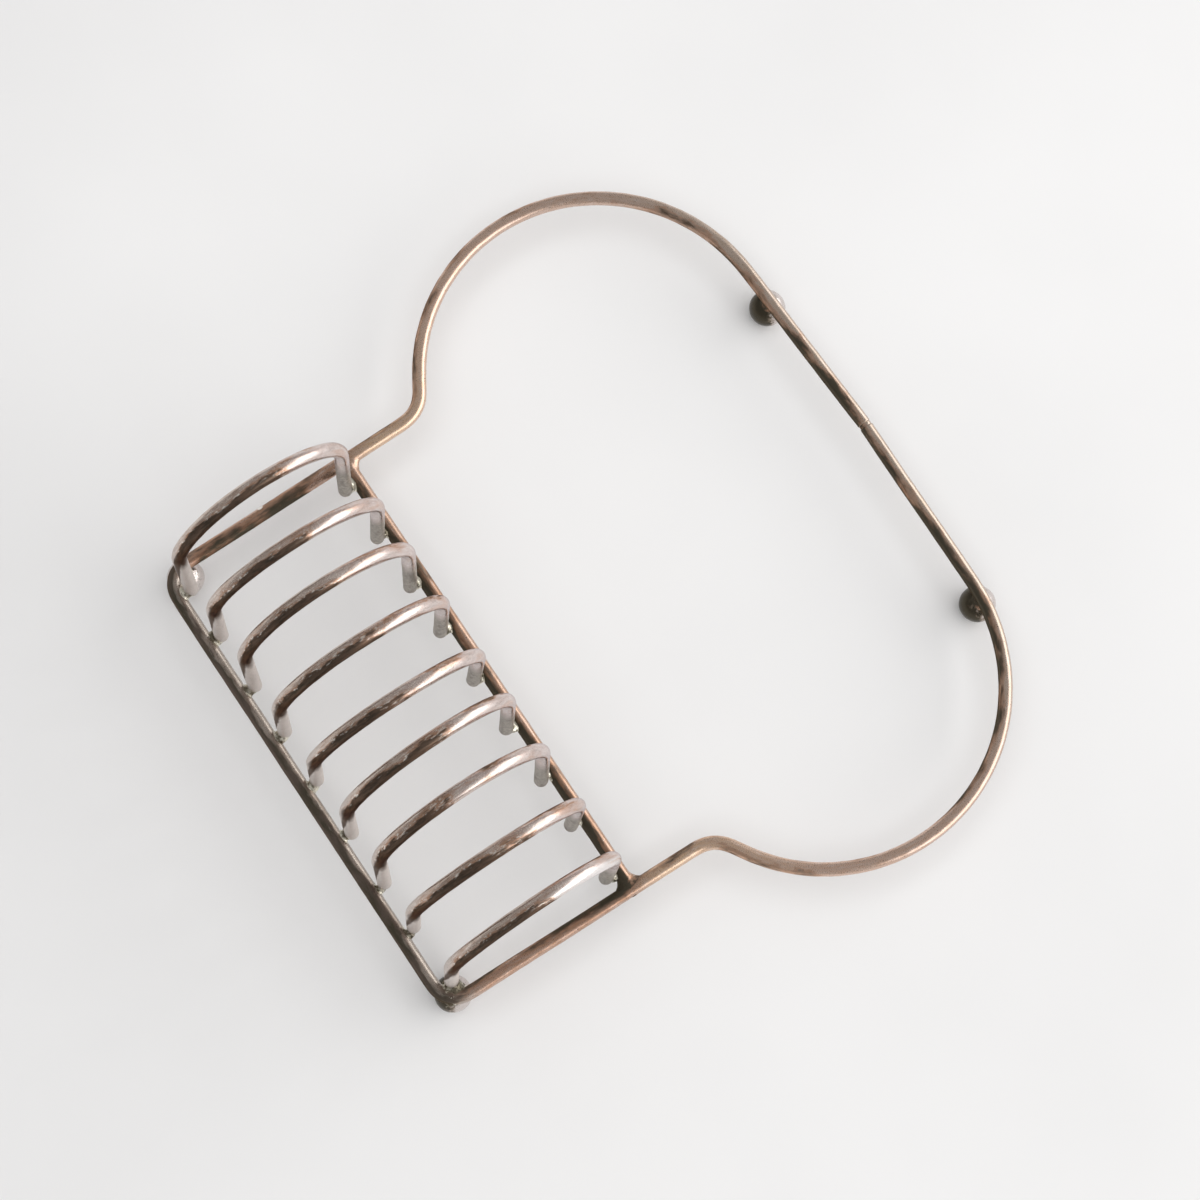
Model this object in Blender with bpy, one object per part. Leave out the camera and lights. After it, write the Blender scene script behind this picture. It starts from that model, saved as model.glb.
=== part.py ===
"""A wire toast rack: a base wire with a wide loop behind, a cross rail, nine arched hoops and four ball feet.

Run it with blender --background --python part.py, or from Blender's text editor. Sizes are metres.
+X runs along the two toast rails, +Y from the toast end to the loop, +Z up. The origin is on the table,
under the middle of the whole rack's box.
"""

import math

import bmesh
import bpy
from mathutils import Matrix, Vector

# Stock: 9 gauge round wire, and balls turned to 3/8 inch.
WIRE_RADIUS = 0.0018
FOOT_RADIUS = 0.0048
FOOT_FLAT_DEPTH = 0.00015  # worn off the bottom of each ball, so that it stands on a small flat
GAP = 0.0003  # clearance between neighbouring solids, which the solder bridges on the real rack
TOUCHING = 2 * WIRE_RADIUS + GAP  # distance between the axes of two wires that lie side by side
RAIL_HEIGHT = 2 * FOOT_RADIUS - FOOT_FLAT_DEPTH + GAP + WIRE_RADIUS  # axis of the base wire above the table

# Base wire, as a plan outline that starts with its toast rail on the X axis: two side rails that spread
# a little, a neck that turns each of them out into the loop, and a back that peaks at its butt joint.
RAIL_HALF_LENGTH = 0.064
RAIL_TO_BACK = 0.1702
FRONT_CORNER_RADIUS = 0.006
NECK_RADIUS = 0.009
NECK_ANGLE = math.radians(60)  # the wire leaves the neck at this angle to +Y
# The two halves were bent by hand and differ a little: where the neck is, the loop's radius, and how far
# the back falls away from its peak over its width.
LEFT_HALF = {"sign": -1, "neck": (0.0647, 0.0769), "loop_radius": 0.0466, "back_slope": 0.046}
RIGHT_HALF = {"sign": 1, "neck": (0.0657, 0.0779), "loop_radius": 0.0473, "back_slope": 0.010}

# Butt joint in the middle of the back: the two ends are filed thinner, and solder joins them.
BUTT_SPACE = 0.0014
BUTT_TAPER_LENGTH = 0.006
BUTT_TAPER = 0.88

# Cross rail, and the hoops that stand between it and the toast rail.
RAIL_SPACING = 0.0537
HOOP_SPAN = RAIL_SPACING - 2 * TOUCHING
HOOP_PEAK = 0.0594  # top of the arch's axis above the rails' axes
HOOP_LEG_DROP = 0.0002  # the legs end this far below the rails' axes
HOOP_PITCH = 0.0147
HOOP_ROW_CENTRE = 0.0006
# How each hoop was set by hand, from the left: the sideways shifts of its front and rear legs from the even
# pitch, its lean towards +X in degrees, and how much higher than the others it stands.
HOOP_SETTINGS = (
    (0.0004, -0.0001, -0.4, -0.0015),
    (-0.0003, 0.0, 1.4, -0.0006),
    (0.0003, 0.0004, -1.3, -0.0006),
    (-0.0007, -0.0006, 0.5, -0.0003),
    (-0.0009, -0.0005, 1.3, 0.0001),
    (0.0002, -0.0005, -1.4, 0.0003),
    (0.0003, 0.0004, -3.0, 0.0012),
    (-0.0016, -0.0010, -0.4, 0.0009),
    (-0.0002, -0.0001, -1.3, 0.0003),
)
LAST_HOOP = len(HOOP_SETTINGS) - 1
LAST_HOOP_INSET = 0.0004  # the right end hoop stands this much further back, to clear the corner bend

# Ball feet: the front pair under the corner bends, the back pair under the ends of the straight back.
FOOT_PLACES = {
    "foot_front_left": (-0.0624, 0.0046),
    "foot_front_right": (0.0617, 0.0033),
    "foot_back_left": (-0.0406, 0.1686),
    "foot_back_right": (0.0536, 0.1693),
}

# Solder: a lump round each joint, kept off the metal that it joins by the gap.
LEG_SOLDER_RADIUS = 0.0023
RAIL_END_SOLDER_RADIUS = 0.0026
FOOT_SOLDER_RADIUS = 0.0027
CORNER_PUDDLE_RADIUS = 0.0038

# Facets
WIRE_SIDES = 10
BALL_SEGMENTS = 18
BALL_RINGS = 12
LUMP_SUBDIVISIONS = 2
SHARP_ANGLE = math.radians(40)  # edges that turn further than this are shaded as corners
CHORD_ERROR = 0.00006  # how far a bend's straight facets may stray from its true curve
DOME_RINGS = ((0.0, 1.0), (0.45, 0.88), (0.8, 0.55))  # (along, radius) of a rounded wire end, in wire radii


def clear_scene():
    for old in list(bpy.data.objects):
        bpy.data.objects.remove(old)


def metal(name, colour, roughness):
    material = bpy.data.materials.new(name)
    material.use_nodes = True
    shader = material.node_tree.nodes["Principled BSDF"]
    shader.inputs["Base Color"].default_value = (*colour, 1.0)
    shader.inputs["Metallic"].default_value = 1.0
    shader.inputs["Roughness"].default_value = roughness
    return material


def arc_steps(radius, turn):
    """How many straight facets a bend needs."""
    return max(2, math.ceil(turn / (2 * math.acos(1 - CHORD_ERROR / radius))))


def rounded(corners, radii):
    """Points of a plan line through the corners, with each inner corner bent to its radius."""
    points = [corners[0].copy()]
    for corner, before, after, radius in zip(corners[1:-1], corners, corners[2:], radii):
        back = (before - corner).normalized()
        on = (after - corner).normalized()
        opening = back.angle(on)
        centre = corner + (back + on).normalized() * radius / math.sin(opening / 2)
        start = corner + back * radius / math.tan(opening / 2) - centre
        turn = math.pi - opening
        steps = arc_steps(radius, turn)
        side = 1 if start.cross(-back) > 0 else -1
        for step in range(steps + 1):
            points.append(centre + Matrix.Rotation(side * turn * step / steps, 2) @ start)
    points.append(corners[-1].copy())
    return points


def half_outline(half):
    """The corners and bend radii of one half of the base wire, from the toast rail to the butt joint."""
    neck = Vector(half["neck"])
    slope = half["back_slope"]
    leaving = Vector((math.sin(NECK_ANGLE), math.cos(NECK_ANGLE)))
    reach = (RAIL_TO_BACK - slope * neck.x - neck.y) / (leaving.y + slope * leaving.x)
    corners = [
        Vector((RAIL_HALF_LENGTH, 0)),
        neck,
        neck + leaving * reach,
        Vector((BUTT_SPACE / 2, RAIL_TO_BACK - slope * BUTT_SPACE / 2)),
    ]
    radii = [FRONT_CORNER_RADIUS, NECK_RADIUS, half["loop_radius"]]
    return [Vector((half["sign"] * corner.x, corner.y)) for corner in corners], radii


def base_outline():
    """Points along the whole base wire's axis, from one side of the butt joint round to the other."""
    left, left_radii = half_outline(LEFT_HALF)
    right, right_radii = half_outline(RIGHT_HALF)
    plan = rounded(left[::-1] + right, left_radii[::-1] + right_radii)
    taper_start = plan[0] + (plan[1] - plan[0]).normalized() * BUTT_TAPER_LENGTH
    taper_end = plan[-1] + (plan[-2] - plan[-1]).normalized() * BUTT_TAPER_LENGTH
    plan = [plan[0], taper_start, *plan[1:-1], taper_end, plan[-1]]
    return [point.to_3d() for point in plan]


def domed(path):
    """A wire's path and its radius factors, with both ends rounded within the path's length."""
    start = (path[0] - path[1]).normalized() * WIRE_RADIUS
    end = (path[-1] - path[-2]).normalized() * WIRE_RADIUS
    tip = DOME_RINGS[-1][0]
    inner = path[1:-1]
    first = [(path[0] + start * (along - tip), factor) for along, factor in DOME_RINGS]
    last = [(path[-1] + end * (along - tip), factor) for along, factor in DOME_RINGS]
    return first[::-1] + [(point, 1.0) for point in inner] + last


def hoop_path():
    """One hoop in its own YZ plane, with its front leg on the Z axis and the rails' axes at Z = 0."""
    radius = HOOP_SPAN / 2
    spring = HOOP_PEAK - radius
    steps = arc_steps(radius, math.pi)
    path = [Vector((0, 0, -HOOP_LEG_DROP))]
    for step in range(steps + 1):
        angle = math.pi * step / steps
        path.append(Vector((0, radius - radius * math.cos(angle), spring + radius * math.sin(angle))))
    path.append(Vector((0, HOOP_SPAN, -HOOP_LEG_DROP)))
    return domed(path)


def tube_mesh(name, rings, normal, grown=0.0):
    """A round wire whose axis lies in the plane with this normal. Each ring is (point, radius factor)."""
    shape = bmesh.new()
    loops = []
    for index, (point, factor) in enumerate(rings):
        arriving = (point - rings[max(index - 1, 0)][0]).normalized()
        leaving = (rings[min(index + 1, len(rings) - 1)][0] - point).normalized()
        along = (arriving + leaving).normalized()
        mitre = max(along.dot(arriving), along.dot(leaving))
        across = normal.cross(along) / mitre
        radius = WIRE_RADIUS * factor + grown
        loop = []
        for side in range(WIRE_SIDES):
            angle = math.tau * side / WIRE_SIDES
            outwards = math.cos(angle) * across + math.sin(angle) * normal
            loop.append(shape.verts.new(point + radius * outwards))
        loops.append(loop)
    for lower, upper in zip(loops, loops[1:]):
        for side in range(WIRE_SIDES):
            after = (side + 1) % WIRE_SIDES
            shape.faces.new((lower[side], lower[after], upper[after], upper[side]))
    shape.faces.new(loops[0])
    shape.faces.new(loops[-1])
    bmesh.ops.recalc_face_normals(shape, faces=shape.faces)
    return finished_mesh(name, shape)


def ball_mesh(name, radius, flat_depth=None):
    """A ball round its own origin, cut flat near its bottom if a depth is given."""
    shape = bmesh.new()
    bmesh.ops.create_uvsphere(shape, u_segments=BALL_SEGMENTS, v_segments=BALL_RINGS, radius=radius)
    if flat_depth is not None:
        everything = shape.verts[:] + shape.edges[:] + shape.faces[:]
        cut = bmesh.ops.bisect_plane(
            shape,
            geom=everything,
            plane_co=(0, 0, flat_depth - radius),
            plane_no=(0, 0, 1),
            clear_inner=True,
        )
        rim = [part for part in cut["geom_cut"] if isinstance(part, bmesh.types.BMEdge)]
        bmesh.ops.holes_fill(shape, edges=rim)
    return finished_mesh(name, shape)


def lump_mesh(name, radius):
    shape = bmesh.new()
    bmesh.ops.create_icosphere(shape, subdivisions=LUMP_SUBDIVISIONS, radius=radius)
    return finished_mesh(name, shape)


def finished_mesh(name, shape):
    mesh = bpy.data.meshes.new(name)
    shape.to_mesh(mesh)
    shape.free()
    mesh.shade_smooth()
    mesh.set_sharp_from_angle(angle=SHARP_ANGLE)
    return mesh


def piece(name, mesh, material, rack, matrix=None):
    """One physical piece, in place on the rack."""
    thing = bpy.data.objects.new(name, mesh)
    bpy.context.collection.objects.link(thing)
    thing.parent = rack
    thing.matrix_local = matrix or Matrix.Identity(4)
    if material:
        thing.active_material = material
    return thing


def cutter(name, mesh, rack, matrix=None):
    """A hidden solid, grown by the gap, that keeps solder off the metal."""
    thing = piece(name, mesh, None, rack, matrix)
    thing.hide_render = True
    thing.display_type = "WIRE"
    return thing


def cut(thing, cutters):
    for tool in cutters:
        modifier = thing.modifiers.new(f"clear_of_{tool.name}", "BOOLEAN")
        modifier.operation = "DIFFERENCE"
        modifier.solver = "EXACT"
        modifier.object = tool


def solder(name, place, radius, cutters, material, rack):
    lump = piece(name, lump_mesh(name, radius), material, rack, Matrix.Translation(place))
    cut(lump, cutters)


def build_base(rack, plate):
    rings = []
    outline = base_outline()
    for index, point in enumerate(outline):
        filed = index in (0, len(outline) - 1)
        rings.append((point + Vector((0, 0, RAIL_HEIGHT)), BUTT_TAPER if filed else 1.0))
    up = Vector((0, 0, 1))
    piece("base_wire", tube_mesh("base_wire", rings, up), plate, rack)
    return cutter("clearance_base_wire", tube_mesh("clearance_base_wire", rings, up, GAP), rack)


def side_rail_x(half, y):
    """Where a side rail's axis is at y."""
    neck_x, neck_y = half["neck"]
    return half["sign"] * (RAIL_HALF_LENGTH + (neck_x - RAIL_HALF_LENGTH) * y / neck_y)


def build_cross_rail(rack, plate, base_clearance, tin):
    """A straight wire whose ends are filed hollow to fit against the side rails."""
    ends = []
    for half in (LEFT_HALF, RIGHT_HALF):
        ends.append(Vector((side_rail_x(half, RAIL_SPACING), RAIL_SPACING, RAIL_HEIGHT)))
    rings = [(end, 1.0) for end in ends]
    up = Vector((0, 0, 1))
    rail = piece("cross_rail", tube_mesh("cross_rail", rings, up), plate, rack)
    cut(rail, [base_clearance])
    clearance = cutter("clearance_cross_rail", tube_mesh("clearance_cross_rail", rings, up, GAP), rack)
    for name, end, inwards in (("left", ends[0], 1), ("right", ends[1], -1)):
        place = end + Vector((inwards * WIRE_RADIUS, 0, 0))
        joined = [base_clearance, clearance]
        solder(f"solder_cross_rail_{name}", place, RAIL_END_SOLDER_RADIUS, joined, tin, rack)
    return clearance


def hoop_matrix(index):
    """Places the hoop's own axes, front leg first, on the rack."""
    front_shift, rear_shift, lean, lift = HOOP_SETTINGS[index]
    even_x = HOOP_ROW_CENTRE + HOOP_PITCH * (index - LAST_HOOP / 2)
    inset = LAST_HOOP_INSET if index == LAST_HOOP else 0.0
    foot = Vector((even_x + front_shift, TOUCHING + inset, RAIL_HEIGHT + lift))
    twist = -math.atan((rear_shift - front_shift) / HOOP_SPAN)
    shorter = Matrix.Scale(1 - inset / HOOP_SPAN, 4, Vector((0, 1, 0)))
    turned = Matrix.Rotation(twist, 4, "Z") @ Matrix.Rotation(math.radians(lean), 4, "Y")
    return Matrix.Translation(foot) @ turned @ shorter


def build_hoops(rack, plate, tin, base_clearance, rail_clearance):
    hoop = tube_mesh("hoop", hoop_path(), Vector((1, 0, 0)))
    grown = tube_mesh("clearance_hoop", hoop_path(), Vector((1, 0, 0)), GAP)
    clearances = []
    for index in range(len(HOOP_SETTINGS)):
        name = f"hoop_{index + 1}"
        matrix = hoop_matrix(index)
        piece(name, hoop, plate, rack, matrix)
        clearance = cutter(f"clearance_{name}", grown, rack, matrix)
        clearances.append(clearance)
        front = matrix @ Vector((0, -TOUCHING / 2, 0))
        rear = matrix @ Vector((0, HOOP_SPAN + TOUCHING / 2, 0))
        front.z = RAIL_HEIGHT
        rear.z = RAIL_HEIGHT
        if index != LAST_HOOP:  # the corner's puddle of solder holds the last one's front leg
            solder(f"solder_{name}_front", front, LEG_SOLDER_RADIUS, [base_clearance, clearance], tin, rack)
        solder(f"solder_{name}_rear", rear, LEG_SOLDER_RADIUS, [rail_clearance, clearance], tin, rack)
    return clearances


def build_feet(rack, silver, tin, base_clearance, hoop_clearances):
    ball = ball_mesh("foot", FOOT_RADIUS, FOOT_FLAT_DEPTH)
    grown = ball_mesh("clearance_foot", FOOT_RADIUS + GAP)
    centre_height = FOOT_RADIUS - FOOT_FLAT_DEPTH
    for name, (x, y) in FOOT_PLACES.items():
        matrix = Matrix.Translation((x, y, centre_height))
        piece(name, ball, silver, rack, matrix)
        clearance = cutter(f"clearance_{name}", grown, rack, matrix)
        seat = Vector((x, y, centre_height + FOOT_RADIUS + GAP / 2))
        joined = [base_clearance, clearance]
        if name == "foot_front_right":
            puddle = seat + Vector((0, 0, WIRE_RADIUS / 2))
            joined.append(hoop_clearances[-1])
            solder("solder_front_right_corner", puddle, CORNER_PUDDLE_RADIUS, joined, tin, rack)
        else:
            solder(f"solder_{name}", seat, FOOT_SOLDER_RADIUS, joined, tin, rack)


def build_butt_joint(rack, tin):
    """The slug of solder between the two filed ends of the base wire."""
    half_length = BUTT_SPACE / 2 - GAP
    middle = Vector((0, RAIL_TO_BACK, RAIL_HEIGHT))
    rings = [(middle + Vector((side * half_length, 0, 0)), BUTT_TAPER) for side in (-1, 1)]
    piece("solder_back_joint", tube_mesh("solder_back_joint", rings, Vector((0, 0, 1))), tin, rack)


def centre_on_origin(rack):
    """Moves the rack so that its box stands on the origin's table, centred."""
    bpy.context.view_layer.update()
    corners = []
    for thing in rack.children:
        if not thing.hide_render:
            corners += [thing.matrix_world @ vertex.co for vertex in thing.data.vertices]
    for axis in range(2):
        low = min(corner[axis] for corner in corners)
        high = max(corner[axis] for corner in corners)
        rack.location[axis] = -(low + high) / 2


def main():
    clear_scene()
    plate = metal("worn_silver_plate", (0.42, 0.33, 0.28), 0.34)
    silver = metal("ball_silver", (0.50, 0.46, 0.42), 0.30)
    tin = metal("solder", (0.72, 0.70, 0.62), 0.42)
    rack = bpy.data.objects.new("toast_rack", None)
    bpy.context.collection.objects.link(rack)
    base_clearance = build_base(rack, plate)
    rail_clearance = build_cross_rail(rack, plate, base_clearance, tin)
    hoop_clearances = build_hoops(rack, plate, tin, base_clearance, rail_clearance)
    build_feet(rack, silver, tin, base_clearance, hoop_clearances)
    build_butt_joint(rack, tin)
    centre_on_origin(rack)


main()
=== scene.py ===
"""Looks for the wire toast rack: round hand-bent wires, fused solder and worn silver plate, built on the
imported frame.

Lengths are metres. +X runs along the two toast rails, +Y from the toast end to the loop, +Z up.
"""

import math
import random

import bmesh
import bpy
import numpy as np
from mathutils import Matrix, Vector, noise


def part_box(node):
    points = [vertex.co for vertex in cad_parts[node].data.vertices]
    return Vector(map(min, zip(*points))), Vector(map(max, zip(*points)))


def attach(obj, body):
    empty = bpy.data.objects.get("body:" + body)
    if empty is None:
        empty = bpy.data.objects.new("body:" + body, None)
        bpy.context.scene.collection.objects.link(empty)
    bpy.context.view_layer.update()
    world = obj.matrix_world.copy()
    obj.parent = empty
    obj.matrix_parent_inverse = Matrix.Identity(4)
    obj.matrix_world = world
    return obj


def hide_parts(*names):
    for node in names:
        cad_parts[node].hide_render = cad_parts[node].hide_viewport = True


MM = 0.001
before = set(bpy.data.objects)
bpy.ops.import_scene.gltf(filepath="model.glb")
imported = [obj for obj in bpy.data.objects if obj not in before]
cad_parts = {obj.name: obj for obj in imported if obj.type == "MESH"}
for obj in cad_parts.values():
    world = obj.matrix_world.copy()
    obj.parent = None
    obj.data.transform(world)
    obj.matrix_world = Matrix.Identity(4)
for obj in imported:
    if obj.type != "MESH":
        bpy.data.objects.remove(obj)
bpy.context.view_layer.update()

# Wires
WIRE_RADIUS = 1.8 * MM
ARCH_STEPS = 48  # points round a hoop's arch
RING_STEP = 0.55 * MM  # distance between a wire's rings
RING_SIDES = 36
END_RINGS = 6  # rings that round off a wire's end
END_SQUARENESS = 0.6  # below 1 the end is blunter than a ball
END_ROUNDING = 0.75  # depth of a wire end's rounding, in wire radii
SAWN_ROUNDING = 0.10  # the same, at the back joint
BEND_SOFTNESS = 1.3 * MM  # how far a bend eases into the straight
WANDER = 0.10 * MM  # how far a hand-straightened wire strays from its true line
WANDER_LENGTH = 24 * MM
DENT_DEPTH = 0.035 * MM
DENT_SIZE = 3.2 * MM
BUTT_TAPER = 0.98  # how thick the filed ends at the back joint are, in wire radii
BUTT_TAPER_LENGTH = 5 * MM

# Solder
SKIN_CELL = 0.17 * MM  # the grid that a solder skin is read from
SOLDER_FILM = 0.04 * MM  # how proud of the wire the solder stands near its joint
FILM_REACH = 0.45  # where that film starts to thin out, as a share of how far the solder runs
FILM_FADE = 0.9 * MM  # how fast it thins out
CRINKLE_SIZE = 0.9 * MM

# Balls
BALL_UNEVENNESS = 0.06 * MM

random.seed(41)
noise.seed_set(41)  # noise_vector would differ from run to run without it


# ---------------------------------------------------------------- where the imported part's wires run


def corner_points(name):
    """The distinct corners of a CAD node."""
    corners = [vertex.co[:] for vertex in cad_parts[name].data.vertices]
    return np.unique(np.round(np.array(corners), 6), axis=0)


def run_lengths(line):
    """How far along a line each of its points is."""
    return np.concatenate(([0.0], np.cumsum(np.linalg.norm(np.diff(line, axis=0), axis=1))))


def hoop_line(name):
    """The axis of a hoop from its front leg's end to its rear leg's, and the normal of its plane."""
    corners = corner_points(name)
    middle = corners.mean(0)
    normal = np.linalg.eigh(np.cov((corners - middle).T))[1][:, 0]
    normal *= np.sign(normal[0])
    up = np.array((0.0, 0.0, 1.0))
    up -= normal * (normal @ up)
    up /= np.linalg.norm(up)
    along = np.cross(up, normal)
    along *= np.sign(along[1])
    across_range = (corners - middle) @ normal
    middle = middle + normal * (across_range.max() + across_range.min()) / 2
    a = (corners - middle) @ along
    b = (corners - middle) @ up
    front, rear = a.min() + WIRE_RADIUS, a.max() - WIRE_RADIUS
    top, bottom = b.max() - WIRE_RADIUS, b.min()
    radius = (rear - front) / 2
    spring = top - radius
    plan = [(front, bottom), (front, spring)]
    for turn in np.linspace(math.pi, 0, ARCH_STEPS)[1:-1]:
        plan.append(((front + rear) / 2 + radius * math.cos(turn), spring + radius * math.sin(turn)))
    plan += [(rear, spring), (rear, bottom)]
    return np.array([middle + along * p + up * q for p, q in plan]), normal


def base_line():
    """The axis of the base wire, from the left of the back joint round to the right of it. Each ring of the
    CAD wire has two highest corners, close to each other, and the axis is below the middle of the two."""
    corners = corner_points("base_wire")
    top = corners[corners[:, 2] > corners[:, 2].max() - 0.01 * MM]
    reach = np.linalg.norm(top[:, None] - top[None], axis=2)
    np.fill_diagonal(reach, np.inf)
    partner = reach.argmin(1)
    pairs = {tuple(sorted((i, j))) for i, j in enumerate(partner) if partner[j] == i}
    line = np.array([(top[i] + top[j]) / 2 for i, j in sorted(pairs)])
    low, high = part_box("base_wire")
    line[:, 2] = (low.z + high.z) / 2
    turn = (np.arctan2(line[:, 1], line[:, 0]) - math.pi / 2) % math.tau
    line = line[np.argsort(turn)]
    joint_low, joint_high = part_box("solder_back_joint")
    ends = [(x, (joint_low.y + joint_high.y) / 2, line[0, 2]) for x in (joint_low.x, joint_high.x)]
    return np.vstack((ends[:1], line, ends[1:]))


def cross_line():
    """The axis of the cross rail, with each end a little way into a side rail."""
    low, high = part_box("cross_rail")
    into_rail = WIRE_RADIUS * 0.6
    y, z = (low.y + high.y) / 2, (low.z + high.z) / 2
    return np.array([(low.x - into_rail, y, z), (high.x + into_rail, y, z)])


def eased(line, step, softness):
    """Points at even steps along a line, with its facets and bends eased."""
    lengths = run_lengths(line)
    count = max(8, round(lengths[-1] / step))
    even = np.linspace(0, lengths[-1], count + 1)
    points = np.stack([np.interp(even, lengths, line[:, axis]) for axis in range(3)], axis=1)
    width = softness / (lengths[-1] / count)
    reach = math.ceil(3 * width)
    weights = np.exp(-0.5 * (np.arange(-reach, reach + 1) / width) ** 2)
    weights /= weights.sum()
    before = 2 * points[0] - points[reach:0:-1]
    after = 2 * points[-1] - points[-2 : -reach - 2 : -1]
    padded = np.vstack((before, points, after))
    return np.stack([np.convolve(padded[:, axis], weights, "valid") for axis in range(3)], axis=1)


def wander(points, seed):
    """Moves a line's points a little, as hand bending does."""
    moved = []
    for point in points:
        place = Vector(point) / WANDER_LENGTH + Vector((seed, 0, 0))
        moved.append(point + np.array(noise.noise_vector(place)) * WANDER)
    return np.array(moved)


# ---------------------------------------------------------------- meshes


def new_piece(name, mesh, material, stands_for):
    """A shown piece that rides on the rack and stands for a CAD node."""
    for polygon in mesh.polygons:
        polygon.use_smooth = True
    mesh.materials.append(material)
    thing = bpy.data.objects.new(name, mesh)
    bpy.context.scene.collection.objects.link(thing)
    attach(thing, "root")
    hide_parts(stands_for)
    return thing


def face_outwards(mesh):
    shape = bmesh.new()
    shape.from_mesh(mesh)
    bmesh.ops.recalc_face_normals(shape, faces=shape.faces)
    shape.to_mesh(mesh)
    shape.free()


def wire_rings(points, factors, rounding):
    """A wire's rings from end to end: the middle, the direction and the size of each."""
    tangents = np.gradient(points, axis=0)
    tangents /= np.linalg.norm(tangents, axis=1)[:, None]
    factors = np.ones(len(points)) if factors is None else factors
    depth = WIRE_RADIUS * rounding
    clear_of_end = depth * 1.05
    steps = np.linspace(0, math.pi / 2, END_RINGS + 1)[:-1]
    first, last = [], []
    for step in steps:
        inwards = depth * (1 - math.sin(step))
        size = math.cos(step) ** END_SQUARENESS
        first.insert(0, (points[0] + tangents[0] * inwards, tangents[0], factors[0] * size))
        last.append((points[-1] - tangents[-1] * inwards, tangents[-1], factors[-1] * size))
    run = run_lengths(points)
    inner = (run > clear_of_end) & (run < run[-1] - clear_of_end)
    return first + [(points[i], tangents[i], factors[i]) for i in np.nonzero(inner)[0]] + last


def sweep(name, points, normal, factors=None, rounding=END_ROUNDING):
    """A round wire along points in the plane with this normal, with rounded ends.
    Its grain attribute holds each corner's place on the wire as if it were pulled straight: how far along,
    how far to the outside of the bend and how far along the normal. Its share attribute is how far along
    it is, as a share of the whole."""
    rings = wire_rings(points, factors, rounding)
    normal = np.array(normal, float)
    angles = np.arange(RING_SIDES) * math.tau / RING_SIDES
    corners, grain = [], []
    travelled = 0.0
    previous = rings[0][0]
    for at, tangent, factor in rings:
        across = np.cross(normal, tangent)
        across /= np.linalg.norm(across)
        upward = np.cross(tangent, across)
        travelled += np.linalg.norm(at - previous)
        previous = at
        for angle in angles:
            out = math.cos(angle) * across + math.sin(angle) * upward
            place = Vector(at + out * WIRE_RADIUS)
            dent = noise.noise(place / DENT_SIZE) + 0.4 * noise.noise(place / (DENT_SIZE / 3))
            corners.append(at + out * (WIRE_RADIUS * factor + DENT_DEPTH * dent))
            grain.append((travelled, WIRE_RADIUS * math.cos(angle), WIRE_RADIUS * math.sin(angle)))
    faces = []
    for ring in range(len(rings) - 1):
        for side in range(RING_SIDES):
            after = (side + 1) % RING_SIDES
            a, b = ring * RING_SIDES, (ring + 1) * RING_SIDES
            faces.append((a + side, b + side, b + after, a + after))
    last = (len(rings) - 1) * RING_SIDES
    for start, end_point, flip in ((0, points[0], False), (last, points[-1], True)):
        corners.append(end_point)
        grain.append(grain[start])
        tip = len(corners) - 1
        for side in range(RING_SIDES):
            after = (side + 1) % RING_SIDES
            triangle = (start + side, start + after, tip)
            faces.append(triangle[::-1] if flip else triangle)
    mesh = bpy.data.meshes.new(name)
    mesh.from_pydata([tuple(corner) for corner in corners], [], faces)
    face_outwards(mesh)
    grain = np.array(grain, np.float32)
    layer = mesh.attributes.new("grain", "FLOAT_VECTOR", "POINT")
    layer.data.foreach_set("vector", grain.ravel())
    layer = mesh.attributes.new("share", "FLOAT", "POINT")
    layer.data.foreach_set("value", grain[:, 0] / run_lengths(points)[-1])
    return mesh


def blended(a, b, reach):
    """Distance to two solids with a fillet of this reach between them."""
    overlap = np.maximum(reach - np.abs(a - b), 0) / reach
    return np.minimum(a, b) - overlap * overlap * reach / 4


def to_wire(places, line, radius=WIRE_RADIUS):
    """Distance from each place to a wire that runs through the line's points."""
    nearest = np.full(len(places), np.inf)
    for point in line:
        nearest = np.minimum(nearest, ((places - point) ** 2).sum(1))
    return np.sqrt(nearest) - radius


def to_ball(places, centre, radius):
    """Distance from each place to a ball."""
    return np.linalg.norm(places - np.array(centre), axis=1) - radius


CELL_CORNERS = np.array([(i, j, k) for i in (0, 1) for j in (0, 1) for k in (0, 1)])
CELL_EDGES = [
    (a, b)
    for a in range(8)
    for b in range(a + 1, 8)
    if np.abs(CELL_CORNERS[a] - CELL_CORNERS[b]).sum() == 1
]


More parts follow.
